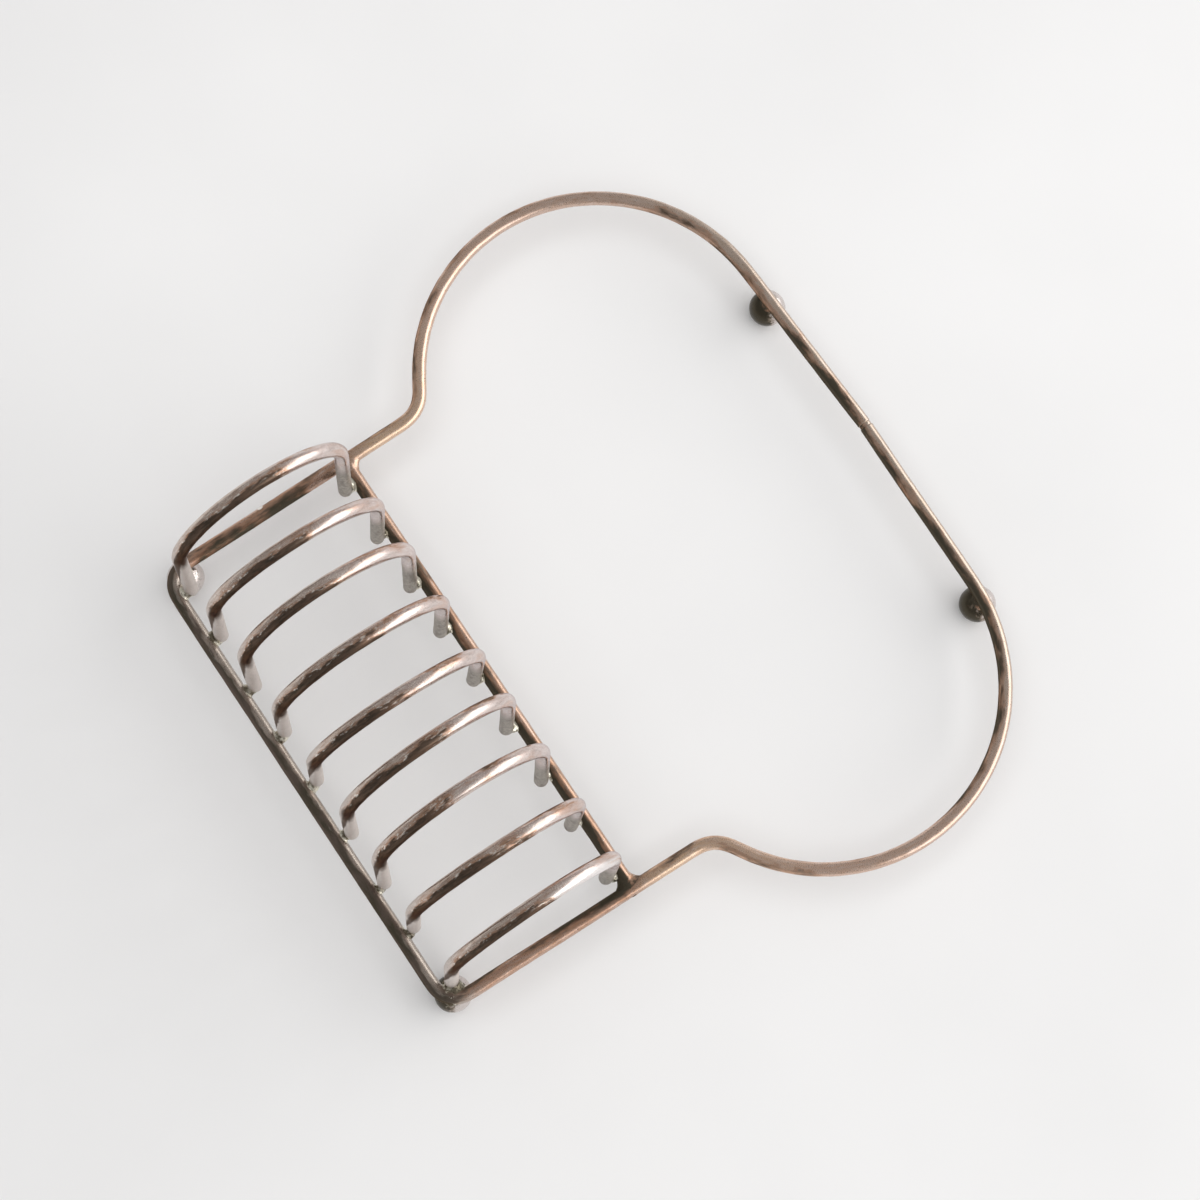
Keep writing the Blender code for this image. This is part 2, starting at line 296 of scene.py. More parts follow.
def skin_mesh(name, low, high, distance):
    """The surface where distance(places) is zero inside a box, as a mesh of quads. Each grid cell that the
    surface crosses gets one corner, at the mean of its edges' crossings. Each crossed grid line gets one
    quad."""
    low, high = np.array(low), np.array(high)
    counts = np.ceil((high - low) / SKIN_CELL).astype(int) + 1
    axes = [low[axis] + SKIN_CELL * np.arange(counts[axis]) for axis in range(3)]
    places = np.stack(np.meshgrid(*axes, indexing="ij"), axis=-1).reshape(-1, 3)
    field = distance(places).reshape(counts)
    field[[0, -1]] = field[:, [0, -1]] = field[:, :, [0, -1]] = SKIN_CELL
    cells = counts - 1

    def shifted(array, offset):
        return array[tuple(slice(o, o + c) for o, c in zip(offset, cells))]

    at_corners = np.stack([shifted(field, offset) for offset in CELL_CORNERS])
    filled = (at_corners < 0).sum(0)
    crossed = (filled > 0) & (filled < 8)
    number = np.full(cells, -1)
    number[crossed] = np.arange(crossed.sum())
    values = at_corners[:, crossed]
    total = np.zeros((values.shape[1], 3))
    weight = np.zeros(values.shape[1])
    for a, b in CELL_EDGES:
        change = (values[a] < 0) != (values[b] < 0)
        share = np.where(change, values[a] / np.where(change, values[a] - values[b], 1), 0)
        crossing = CELL_CORNERS[a] + share[:, None] * (CELL_CORNERS[b] - CELL_CORNERS[a])
        total += np.where(change[:, None], crossing, 0)
        weight += change
    corners = low + SKIN_CELL * (np.argwhere(crossed) + total / weight[:, None])
    faces = []
    inside = (field < 0).astype(int)
    for axis in range(3):
        u, v = [other for other in range(3) if other != axis]
        for place in np.argwhere(np.diff(inside, axis=axis) != 0):
            if place[u] < 1 or place[v] < 1 or place[u] >= cells[u] or place[v] >= cells[v]:
                continue
            square = []
            for du, dv in ((-1, -1), (0, -1), (0, 0), (-1, 0)):
                cell = place.copy()
                cell[u] += du
                cell[v] += dv
                square.append(int(number[tuple(cell)]))
            faces.append(square)
    mesh = bpy.data.meshes.new(name)
    mesh.from_pydata(corners.tolist(), [], faces)
    face_outwards(mesh)
    return mesh


def crinkle(mesh, depth, size, seed):
    """Roughens a mesh along its normals."""
    offset = Vector((seed, seed, seed))
    normals = [vertex.normal.copy() for vertex in mesh.vertices]
    for vertex, normal in zip(mesh.vertices, normals):
        place = vertex.co / size + offset
        vertex.co += normal * depth * (noise.noise(place) + 0.5 * noise.noise(place * 2.3))


# ---------------------------------------------------------------- materials


class Nodes:
    """Short ways to build the nodes of one material, or of the world."""

    def __init__(self, owner):
        owner.use_nodes = True
        self.owner = owner
        self.tree = owner.node_tree
        self.shader = self.tree.nodes.get("Principled BSDF")

    def add(self, kind, settings=None, **inputs):
        node = self.tree.nodes.new(kind)
        for key, value in (settings or {}).items():
            setattr(node, key, value)
        for key, value in inputs.items():
            self.put(node.inputs[key.replace("_", " ")], value)
        return node

    def put(self, socket, value):
        """Links a socket to the value, or sets it. A colour may be given without its alpha."""
        if isinstance(value, bpy.types.NodeSocket):
            self.tree.links.new(value, socket)
        elif socket.type == "RGBA":
            socket.default_value = (*value[:3], 1)
        else:
            socket.default_value = value

    def math(self, operation, *values):
        node = self.add("ShaderNodeMath", {"operation": operation})
        for socket, value in zip(node.inputs, values):
            self.put(socket, value)
        return node.outputs[0]

    def plus(self, *values):
        result = values[0]
        for value in values[1:]:
            result = self.math("ADD", result, value)
        return result

    def times(self, one, two):
        return self.math("MULTIPLY", one, two)

    def minus(self, one, two):
        return self.math("SUBTRACT", one, two)

    def scaled(self, value, factor, offset):
        return self.math("MULTIPLY_ADD", value, factor, offset)

    def vector_math(self, operation, one, two=None):
        """A vector sum whose result is a number."""
        node = self.add("ShaderNodeVectorMath", {"operation": operation})
        self.put(node.inputs[0], one)
        if two is not None:
            self.put(node.inputs[1], two)
        return node.outputs["Value"]

    def object_place(self):
        return self.add("ShaderNodeTexCoord").outputs["Object"]

    def attribute(self, name, output):
        return self.add("ShaderNodeAttribute", {"attribute_name": name}).outputs[output]

    def split(self, vector):
        """A vector's three numbers."""
        return self.add("ShaderNodeSeparateXYZ", Vector=vector).outputs

    def place(self, scale, seed):
        """Object coordinates, scaled to cycles per millimetre and shifted by the seed."""
        return self.mapped(self.object_place(), (scale / MM,) * 3, seed)

    def along_wire(self, scale_along, scale_round, seed):
        """The same, on a wire as if it were pulled straight."""
        scale = (scale_along / MM, scale_round / MM, scale_round / MM)
        return self.mapped(self.attribute("grain", "Vector"), scale, seed)

    def mapped(self, where, scale, seed):
        shift = (seed * 7.3, seed * 3.1, seed * 5.7)
        return self.add("ShaderNodeMapping", Vector=where, Scale=scale, Location=shift).outputs[0]

    def noise(self, where, detail=4.0, roughness=0.55):
        node = self.add("ShaderNodeTexNoise", Vector=where, Scale=1.0, Detail=detail, Roughness=roughness)
        return node.outputs["Fac"]

    def spread(self, noise_value, size):
        """A noise spread evenly about zero, over this size in all."""
        return self.times(self.minus(noise_value, 0.5), size)

    def ramp(self, value, *stops):
        """Even steps between (position, colour or grey) stops."""
        node = self.add("ShaderNodeValToRGB", Fac=value)
        elements = node.color_ramp.elements
        while len(elements) < len(stops):
            elements.new(0.5)
        for element, (position, tone) in zip(elements, stops):
            element.position = position
            element.color = (tone, tone, tone, 1) if isinstance(tone, float) else (*tone, 1)
        return node.outputs["Color"]

    def rise(self, value, start, end, top=1.0):
        """From 0 up to the top as the value goes from start to end."""
        return self.ramp(value, (start, 0.0), (end, top))

    def fall(self, value, start, end):
        """From 1 down to 0 as the value goes from start to end."""
        return self.ramp(value, (start, 1.0), (end, 0.0))

    def band(self, value, start, full, fading, end):
        """From 0 up to 1 and down to 0 again."""
        return self.ramp(value, (start, 0.0), (full, 1.0), (fading, 1.0), (end, 0.0))

    def mix(self, share, first, second):
        node = self.add("ShaderNodeMix", {"data_type": "RGBA"})
        self.put(node.inputs["Factor"], share)
        self.put(node.inputs[6], first)
        self.put(node.inputs[7], second)
        return node.outputs[2]

    def bump(self, *layers):
        """Bump of several (height, depth in metres) layers."""
        normal = None
        for height, depth in layers:
            node = self.add("ShaderNodeBump", Strength=1.0, Distance=depth, Height=height)
            if normal:
                self.put(node.inputs["Normal"], normal)
            normal = node.outputs[0]
        self.put(self.shader.inputs["Normal"], normal)

    def finish(self, colour, metallic, roughness):
        """Gives the shader its last inputs, and returns the material."""
        self.put(self.shader.inputs["Base Color"], colour)
        self.put(self.shader.inputs["Metallic"], metallic)
        self.put(self.shader.inputs["Roughness"], roughness)
        return self.owner


def new_material(name):
    return Nodes(bpy.data.materials.new(name))


# The metals' colours. The plate itself:
SILVER = (0.72, 0.625, 0.56)
BEIGE = (0.47, 0.355, 0.295)
PINK = (0.63, 0.505, 0.465)
PALE_PINK = (0.74, 0.645, 0.61)
# the next is a painted highlight, laid on the lit side of the hoops' rear halves
PAINTED_HIGHLIGHT_SILVER = (0.90, 0.86, 0.85)
GREY_SILVER = (0.56, 0.51, 0.46)
FLECK = (0.92, 0.88, 0.82)
# the metal under it:
COPPER = (0.56, 0.30, 0.18)
RED_BROWN = (0.41, 0.26, 0.185)
# its tarnish, which on the rails and the hoops' rear halves also paints the shade on the sides away from
# the light; the first is a painted rim shade:
RIM_SHADE_PURPLE = (0.34, 0.22, 0.215)
RUST = (0.36, 0.215, 0.145)
DARK_RUST = (0.30, 0.17, 0.11)
BROWN = (0.19, 0.135, 0.10)
WARM_BLACK = (0.13, 0.088, 0.066)
SOOT = (0.060, 0.047, 0.036)
OLIVE = (0.090, 0.078, 0.057)
OLIVE_BROWN = (0.15, 0.118, 0.098)
GRAZING_BROWN = (0.36, 0.29, 0.25)  # what the tarnish shows when seen edge on
# where the flux has made it matt:
MATT_GREY = (0.235, 0.212, 0.178)
MATT_PALE = (0.46, 0.425, 0.37)
MATT_DARK = (0.15, 0.13, 0.10)
MATT_PINK = (0.82, 0.735, 0.69)
# solder:
SOLDER_GREY = (0.19, 0.165, 0.12)
SOLDER_PALE = (0.88, 0.84, 0.72)
SOLDER_GREEN = (0.22, 0.24, 0.16)
SOLDER_STAIN = (0.07, 0.058, 0.042)
# balls:
BALL_SILVER = (0.66, 0.60, 0.575)
BALL_BROWN = (0.34, 0.27, 0.21)
BALL_OLIVE = (0.070, 0.060, 0.042)
# the floor:
FLOOR_GREY = (0.80, 0.80, 0.805)
FLOOR_PALE = (0.86, 0.86, 0.865)

# How the rails' clean metal changes from the toast end (0) to the loop (1)
RAIL_COLOURS = (
    (0.085, (0.42, 0.365, 0.32)),
    (0.125, (0.52, 0.31, 0.21)),
    (0.335, (0.46, 0.285, 0.20)),
    (0.385, (0.74, 0.52, 0.35)),
    (0.55, (0.68, 0.47, 0.36)),
    (0.80, (0.60, 0.43, 0.34)),
    (0.95, (0.52, 0.43, 0.345)),
)

RACK_LENGTH = 200 * MM  # what the rails' colours are laid out over
PICTURE_RIGHT = (0.558, 0.828, 0.05)  # the way, in the frame, from the picture's left to its right
NICK = (-65.8 * MM, -56.9 * MM, 12.6 * MM)  # a bare spot on the left side rail
NICK_SIZE = 0.75 * MM


def wire_marks(n, seed, pulled):
    """The noises that every wire's finish shares: broad cloud, blotches, streaks and specks. On a wire the
    blotches and streaks are drawn out along it."""
    broad = n.noise(n.place(0.05, seed), detail=3.0)
    if pulled:
        blotch = n.noise(n.along_wire(0.10, 0.36, seed + 1), detail=5.0, roughness=0.6)
        streak = n.noise(n.along_wire(0.35, 1.7, seed + 2), detail=6.0, roughness=0.64)
    else:
        blotch = n.noise(n.place(0.28, seed + 1), detail=6.0, roughness=0.6)
        streak = n.noise(n.place(0.8, seed + 2), detail=4.0, roughness=0.6)
    speck = n.noise(n.place(3.0, seed + 3), detail=3.0)
    return broad, blotch, streak, speck


def facing_right(n):
    """How far a surface faces the picture's right, -1 to 1."""
    normal = n.add("ShaderNodeNewGeometry").outputs["Normal"]
    return n.vector_math("DOT_PRODUCT", normal, PICTURE_RIGHT)


def fine_finish(n, colour, tarnish, marks, dull, polish):
    """Pits, roughness and bump that every wire shares. dull is where the metal has gone matt."""
    _, blotch, streak, speck = marks
    pit = n.fall(speck, 0.31, 0.38)
    colour = n.mix(n.times(pit, 0.55), colour, SOOT)
    roughness = n.plus(polish, n.times(tarnish, 0.08), n.spread(speck, 0.12), n.times(dull, 0.22))
    metallic = n.minus(n.minus(1.0, n.times(tarnish, 0.10)), n.times(dull, 0.35))
    n.put(n.shader.inputs["Specular Tint"], n.mix(tarnish, (1.0, 1.0, 1.0), GRAZING_BROWN))
    n.bump((blotch, 0.05 * MM), (streak, 0.018 * MM), (speck, 0.010 * MM))
    return n.finish(colour, metallic, roughness)


def painted_leg_shade(n, share, angle, marks):
    """A painted shade on a hoop's front leg, the dark line where it meets the bend: it narrows downwards,
    and turns from the +X side to the front.
    """
    _, blotch, streak, _ = marks
    heart = n.scaled(share, 5.4, -0.71)
    width = n.scaled(share, 1.9, 0.06)
    off = n.math("DIVIDE", n.math("ABSOLUTE", n.minus(angle, heart)), width)
    off = n.plus(off, n.spread(blotch, 1.1), n.spread(streak, 0.7))
    return n.times(n.fall(off, 0.55, 0.95), n.fall(share, 0.28, 0.34))


def hoop_plate(name, seed, darker, silver):
    """A hoop's finish. On its front half the tarnish lies on the +X side and is nearly black. Past the top
    it changes to the side away from the light, where it is partly painted shade, and thins to copper brown;
    the lit side there carries a painted highlight of bright silver, as strong as silver says, and a painted
    rim shade in purple. A painted shade darkens the front leg where it meets the bend. Both legs have gone
    matt."""
    n = new_material(name)
    marks = wire_marks(n, seed, True)
    broad, blotch, streak, _ = marks
    share = n.attribute("share", "Fac")
    grain = n.split(n.attribute("grain", "Vector"))
    right_side = n.math("DIVIDE", grain["Z"], WIRE_RADIUS)
    front = n.fall(n.plus(share, n.spread(broad, 0.22)), 0.44, 0.62)
    # painted shade: the dark line where the front leg meets the bend
    leg_shade = painted_leg_shade(n, share, n.math("ARCTAN2", grain["Z"], grain["Y"]), marks)
    # on the front half the tarnish lies on the +X side; on the rear half it turns to the side away from the
    # light, which is partly painted shade
    side_tarnish_and_shade = n.times(right_side, n.scaled(front, 1.35, -0.55))
    edge = n.plus(side_tarnish_and_shade, n.scaled(front, 0.38, -0.22), darker)
    edge = n.plus(edge, n.spread(blotch, 1.5), n.spread(streak, 0.8), leg_shade)
    tarnish = n.rise(edge, 0.0, 0.26)

    mottle = n.rise(streak, 0.38, 0.62)
    clean = n.mix(mottle, n.mix(front, PINK, BEIGE), n.mix(front, PALE_PINK, SILVER))
    clean = n.mix(n.rise(blotch, 0.48, 0.62, 0.55), clean, n.mix(front, COPPER, RED_BROWN))
    # painted highlight: bright silver on the lit side of the rear half, as strong as silver says
    painted_highlight = n.times(n.minus(1.0, front), n.rise(right_side, 0.0, 0.35, silver))
    clean = n.mix(painted_highlight, clean, PAINTED_HIGHLIGHT_SILVER)
    brown = n.mix(n.rise(blotch, 0.46, 0.60), RUST, BROWN)
    tarnish_and_shade_colour = n.mix(front, brown, n.mix(mottle, SOOT, WARM_BLACK))
    colour = n.mix(tarnish, clean, tarnish_and_shade_colour)

    rim = n.band(edge, 0.0, 0.07, 0.13, 0.24)
    colour = n.mix(n.times(rim, 0.45), colour, COPPER)
    chips = n.noise(n.along_wire(0.8, 1.9, seed + 5), detail=4.0, roughness=0.6)
    at_edge = n.ramp(edge, (0.0, 0.20), (0.08, 1.0), (0.38, 0.0))
    flake = n.times(n.rise(chips, 0.54, 0.60), at_edge)
    colour = n.mix(n.times(flake, n.scaled(front, 0.7, 0.25)), colour, FLECK)
    # painted rim shade: purple where the rear half is seen edge on
    turned = n.rise(n.add("ShaderNodeLayerWeight", Blend=0.35).outputs["Facing"], 0.62, 0.88, 0.8)
    colour = n.mix(n.times(turned, n.minus(1.0, front)), colour, RIM_SHADE_PURPLE)

    slant = n.times(n.times(right_side, front), 0.05)
    legs = n.plus(share, n.spread(blotch, 0.09), slant)
    dull = n.ramp(legs, (0.26, 1.0), (0.32, 0.0), (0.77, 0.0), (0.84, 1.0))
    dull = n.times(dull, n.scaled(leg_shade, -0.9, 1.0))
    grit = n.noise(n.place(1.2, seed + 4), detail=6.0, roughness=0.68)
    mottled = n.mix(n.rise(grit, 0.42, 0.60), MATT_GREY, MATT_PALE)
    mottled = n.mix(n.ramp(blotch, (0.38, 0.85), (0.49, 0.0)), mottled, MATT_DARK)
    mottled = n.mix(n.times(front, 0.72), mottled, MATT_PINK)
    colour = n.mix(n.times(dull, 0.92), colour, mottled)
    tarnish = n.times(tarnish, n.minus(1.0, dull))
    return fine_finish(n, colour, tarnish, marks, dull, 0.26)


def nick_mask(n, streak):
    """1 on the nick in the left side rail, and 0 elsewhere."""
    away = n.vector_math("DISTANCE", n.object_place(), NICK)
    return n.math("LESS_THAN", n.plus(away, n.spread(streak, 0.8 * MM)), NICK_SIZE)


def rail_plate(name, seed, darker=0.0, pulled=True):
    """The base wire's and the cross rail's finish: darkest on the sides that face away from the light,
    which is painted shade over the tarnish's own blotches (on the left side rail the tarnish lies on the
    lit side), olive black along the toast rail, copper on the side rails and tan round the loop."""
    n = new_material(name)
    marks = wire_marks(n, seed, pulled)
    broad, blotch, streak, _ = marks
    where = n.split(n.object_place())
    y = n.scaled(where["Y"], 1 / RACK_LENGTH, 0.5)
    x = n.scaled(where["X"], 1 / RACK_LENGTH, 0.5)
    toast_rail = n.fall(y, 0.075, 0.105)
    sides = n.band(y, 0.08, 0.12, 0.335, 0.36)
    left_side = n.times(n.band(y, 0.08, 0.12, 0.27, 0.30), n.fall(x, 0.3, 0.6))
    right_sooty = n.times(n.band(y, 0.16, 0.23, 0.33, 0.35), n.rise(x, 0.7, 0.8))
    beyond = n.band(y, 0.36, 0.42, 0.84, 0.93)
    back = n.rise(y, 0.84, 0.93)

    # painted shade: darker on the sides that face away from the light, except on the left side rail, where
    # the tarnish lies on the lit side
    edge = n.times(facing_right(n), n.scaled(left_side, 1.25, -0.70))
    edge = n.plus(edge, n.spread(blotch, 1.5), n.spread(streak, 0.6), n.spread(broad, 1.5), darker - 0.18)
    edge = n.plus(edge, n.times(toast_rail, 0.50), n.times(back, 0.26), n.times(left_side, 0.52))
    edge = n.plus(edge, n.times(beyond, 0.02), n.times(right_sooty, 0.62))
    # this mask holds the painted shade as well as the tarnish
    tarnish = n.rise(edge, 0.0, 0.34)

    mottle = n.times(n.rise(streak, 0.38, 0.66), 0.40)
    clean = n.mix(mottle, n.ramp(y, *RAIL_COLOURS), n.mix(toast_rail, PALE_PINK, GREY_SILVER))
    patches = n.rise(blotch, 0.42, 0.58)
    tarnish_and_shade_colour = n.mix(patches, n.mix(sides, RUST, DARK_RUST), BROWN)
    tarnish_and_shade_colour = n.mix(n.rise(edge, 0.32, 0.55), tarnish_and_shade_colour, OLIVE)
    tarnish_and_shade_colour = n.mix(toast_rail, tarnish_and_shade_colour, n.mix(patches, OLIVE, OLIVE_BROWN))
    colour = n.mix(tarnish, clean, tarnish_and_shade_colour)

    rim = n.ramp(edge, (0.0, 0.0), (0.10, 1.0), (0.24, 0.0))
    colour = n.mix(n.times(rim, n.scaled(toast_rail, -0.35, 0.45)), colour, COPPER)
    at_edge = n.ramp(edge, (0.0, 0.1), (0.12, 0.6), (0.35, 0.0))
    colour = n.mix(n.times(n.rise(streak, 0.63, 0.67), at_edge), colour, FLECK)
    colour = n.mix(nick_mask(n, streak), colour, FLECK)
    return fine_finish(n, colour, tarnish, marks, 0.0, 0.28)


def solder_metal(name, seed, bright=0.40):
    """Grey solder with bright smooth patches, dull flux stains and patches of green. The higher
    bright is, the fewer bright patches it has."""
    n = new_material(name)
    lumps = n.noise(n.place(0.55, seed), detail=5.0)
    fine = n.noise(n.place(2.6, seed + 2), detail=5.0, roughness=0.65)
    colour = n.mix(n.rise(lumps, bright, bright + 0.14), SOLDER_GREY, SOLDER_PALE)
    green = n.rise(n.noise(n.place(0.8, seed + 5), detail=3.0), 0.56, 0.66)
    colour = n.mix(n.times(green, 0.4), colour, SOLDER_GREEN)
    colour = n.mix(n.times(n.fall(fine, 0.36, 0.47), 0.8), colour, SOLDER_STAIN)
    n.bump((lumps, 0.10 * MM), (fine, 0.05 * MM))
    return n.finish(colour, n.scaled(green, -0.5, 1.0), n.scaled(fine, 0.30, 0.20))


def ball_metal(name, seed, darker):
    """A ball's silver, turning olive brown on the side away from the light, which is painted shade broken
    up by blotches of tarnish.
    """
    n = new_material(name)
    broad = n.noise(n.place(0.14, seed), detail=3.0)
    fine = n.noise(n.place(1.3, seed + 1), detail=6.0, roughness=0.62)
    # painted shade: darker on the side that faces away from the light
    edge = n.plus(n.times(facing_right(n), -0.55), n.spread(broad, 0.8), n.spread(fine, 0.9), darker)
    colour = n.mix(n.rise(edge, 0.0, 0.20), BALL_SILVER, BALL_BROWN)
    colour = n.mix(n.rise(edge, 0.08, 0.34), colour, BALL_OLIVE)
    pit = n.fall(n.noise(n.place(2.4, seed + 3), detail=2.0), 0.31, 0.37)
    colour = n.mix(n.times(pit, 0.6), colour, SOOT)
    n.bump((fine, 0.035 * MM), (pit, -0.03 * MM))
    return n.finish(colour, 0.95, n.scaled(n.rise(edge, 0.0, 0.4), 0.14, 0.17))


# ---------------------------------------------------------------- the rack

HOOPS = range(1, 10)
LEG_STRETCH = slice(3, 14)  # the points of a leg that its joint's solder follows


def build_wires():
    """Every wire as a piece. Returns the lines that the solder follows."""
    base = wander(eased(base_line(), RING_STEP, BEND_SOFTNESS), 3.0)
    run = run_lengths(base)
    from_end = np.minimum(run, run[-1] - run)
    taper = BUTT_TAPER + (1 - BUTT_TAPER) * np.clip(from_end / BUTT_TAPER_LENGTH, 0, 1)
    mesh = sweep("base_wire_round", base, (0, 0, 1), taper, SAWN_ROUNDING)
    new_piece("base_wire_round", mesh, rail_plate("plate_base", 1.0), "base_wire")
    cross = wander(eased(cross_line(), RING_STEP, BEND_SOFTNESS), 9.0)
    mesh = sweep("cross_rail_round", cross, (0, 0, 1))
    plate = rail_plate("plate_cross_rail", 12.0, 0.48)
    new_piece("cross_rail_round", mesh, plate, "cross_rail")
    lines = {"base": base, "cross": cross}
    for index in HOOPS:
        line, normal = hoop_line(f"hoop_{index}")
        line = wander(eased(line, RING_STEP, BEND_SOFTNESS), 20.0 + index)
        mesh = sweep(f"hoop_{index}_round", line, normal)
        # silver is the strength of the painted highlight on a hoop's rear half
        silver, lighter = (0.9, 0.12) if index == 9 else (0.15, 0.0)  # the last hoop is the brightest
        darker = random.uniform(-0.12, 0.06) - lighter
        plate = hoop_plate(f"plate_hoop_{index}", 30.0 + index, darker, silver)
        new_piece(f"hoop_{index}_round", mesh, plate, f"hoop_{index}")
        lines[f"hoop_{index}"] = line
    return lines


def near(line, place, reach):
    """The stretch of a line that is within reach of a place."""
    close = line[np.linalg.norm(line - np.array(place), axis=1) < reach]
    return close if len(close) else line[:1]


def leg_points(line, front):
    """A hoop leg's points from just inside its rounded end."""
    end = line if front else line[::-1]
    return end[LEG_STRETCH]


def node_middle(name):
    low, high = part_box(name)
    return np.array((low + high) / 2)


def solder_skin(
    node, place, solids, material, reach, spread, seed, lumps=(), rough=0.05, level=None, film=SOLDER_FILM
):
    """Solder that wets the solids round a place and fills the corner between them. reach is the fillet's
    size, and spread how far from the place the solder runs. With a level, the fillet thins out above and
    below that height. Each solid is a function that gives its distance, and each lump is a ball's centre
    and radius."""
    place = np.array(place)

    def distance(places):
        fillet = reach
        if level is not None:
            height = np.abs(places[:, 2] - level) / WIRE_RADIUS
            fillet = reach * np.clip(1 - height**2, 0.08, 1)
        metal = solids[0](places)
        for solid in solids[1:]:
            metal = blended(metal, solid(places), fillet)
        for centre, radius in lumps:
            metal = blended(metal, to_ball(places, centre, radius), reach)
        away = np.linalg.norm(places - place, axis=1) / spread
        return metal - film + FILM_FADE * np.maximum(away - FILM_REACH, 0) ** 1.5

    mesh = skin_mesh(f"{node}_fused", place - spread, place + spread, distance)
    crinkle(mesh, rough * MM, CRINKLE_SIZE, seed)
    return new_piece(f"{node}_fused", mesh, material, node)


def wire_solid(line, radius=WIRE_RADIUS):
    return lambda places: to_wire(places, line, radius)


def ball_feet():
    """The four balls, each a little uneven and with its worn flat. Returns their middles and radii."""
    balls = {}
    for index, corner in enumerate(("front_left", "front_right", "back_left", "back_right")):
        node = f"foot_{corner}"
        low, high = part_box(node)
        radius = (high.x - low.x) / 2
        centre = Vector(((low.x + high.x) / 2, (low.y + high.y) / 2, high.z - radius))
        shape = bmesh.new()
        bmesh.ops.create_icosphere(shape, subdivisions=6, radius=radius)
        for vertex in shape.verts:
            out = vertex.co.normalized()
            uneven = noise.noise(out * 1.3 + Vector((index * 5.0, 0, 0)))
            vertex.co += out * BALL_UNEVENNESS * uneven
            vertex.co += centre
            vertex.co.z = max(vertex.co.z, 0.0)
        mesh = bpy.data.meshes.new(f"{node}_round")
        shape.to_mesh(mesh)
        shape.free()
        darker = -0.65 if corner == "front_left" else 0.20
        metal = ball_metal(f"metal_{node}", 60.0 + index, darker)
        new_piece(f"{node}_round", mesh, metal, node)
        balls[corner] = (centre, radius)
    return balls


def solder_legs(lines, metals):
    """The joints of the hoops' legs, each with two lumps of its own."""
    for index in HOOPS:
        for front, rail in ((True, lines["base"]), (False, lines["cross"])):
            node = f"solder_hoop_{index}_{'front' if front else 'rear'}"
            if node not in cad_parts:  # the last hoop's front leg stands in the corner's solder
                continue
            place = node_middle(node)
            leg = leg_points(lines[f"hoop_{index}"], front)
            solids = [wire_solid(leg), wire_solid(near(rail, place, 7 * MM))]
            lumps = []
            for _ in range(2):
                side = (random.uniform(-1.4, 1.4), random.uniform(-0.3, 0.3), random.uniform(-0.8, 1.2))
                lumps.append((place + np.array(side) * MM, random.uniform(0.65, 1.15) * MM))
            metal = random.choice(metals)
            solder_skin(node, place, solids, metal, 1.2 * MM, 3.4 * MM, index * 2.0 + front, lumps)


def solder_cross_rail(lines, metal):
    """The wide fillets at the cross rail's ends."""
    low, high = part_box("cross_rail")
    cross = lines["cross"]
    between_rails = cross[(cross[:, 0] > low.x) & (cross[:, 0] < high.x)]
    for side in ("left", "right"):
        node = f"solder_cross_rail_{side}"
        place = node_middle(node)
        solids = [wire_solid(near(line, place, 8 * MM)) for line in (lines["base"], between_rails)]
        solder_skin(node, place, solids, metal, 3.4 * MM, 4.2 * MM, 31.0, rough=0.04, level=cross[0][2])


def solder_feet(lines, balls, metals):
    """The necks between the balls and the base wire, and the large puddle at the front right corner."""
    for corner, (centre, radius) in balls.items():
        place = np.array((centre.x, centre.y, centre.z + radius))
        wire = wire_solid(near(lines["base"], place, 9 * MM))
        solids = [wire, lambda places, centre=centre, radius=radius: to_ball(places, centre, radius)]
        if corner == "front_right":
            solids.append(wire_solid(leg_points(lines["hoop_9"], True)))
            lumps = [
                (place + np.array((-1.0, 1.0, 1.0)) * MM, 2.0 * MM),
                (place + np.array((1.0, 0.4, 1.2)) * MM, 1.5 * MM),
            ]
            node, spread, rough = "solder_front_right_corner", 5.8 * MM, 0.16
        else:
            node, lumps, spread, rough = f"solder_foot_{corner}", (), 3.8 * MM, 0.05
        solder_skin(node, place, solids, metals[corner], 1.8 * MM, spread, 50.0, lumps, rough)


def solder_butt(lines, metal):
    """The slug in the back joint, filed flush with the wire's two ends."""
    base = lines["base"]
    place = node_middle("solder_back_joint")
    gap = np.linspace(base[0], base[-1], 12)
    wire = wire_solid(np.vstack((near(base, place, 7 * MM), gap)), WIRE_RADIUS * BUTT_TAPER)
    solder_skin("solder_back_joint", place, [wire], metal, 1.0 * MM, 2.0 * MM, 70.0, rough=0.03, film=0.0)


def build_solder(lines, balls):
    metals = [solder_metal(f"solder_{index}", 80.0 + index * 3) for index in range(4)]
    burnt = solder_metal("solder_burnt", 95.0, 0.46)
    # the rails' finish, painted shade included
    stained_and_shaded = rail_plate("solder_stained_and_shaded", 97.0, 0.25, pulled=False)
    solder_legs(lines, metals)
    solder_cross_rail(lines, stained_and_shaded)
    feet = {"front_left": metals[1], "front_right": burnt, "back_left": stained_and_shaded, "back_right": stained_and_shaded}
    solder_feet(lines, balls, feet)
    solder_butt(lines, stained_and_shaded)


# ---------------------------------------------------------------- stage, light and camera

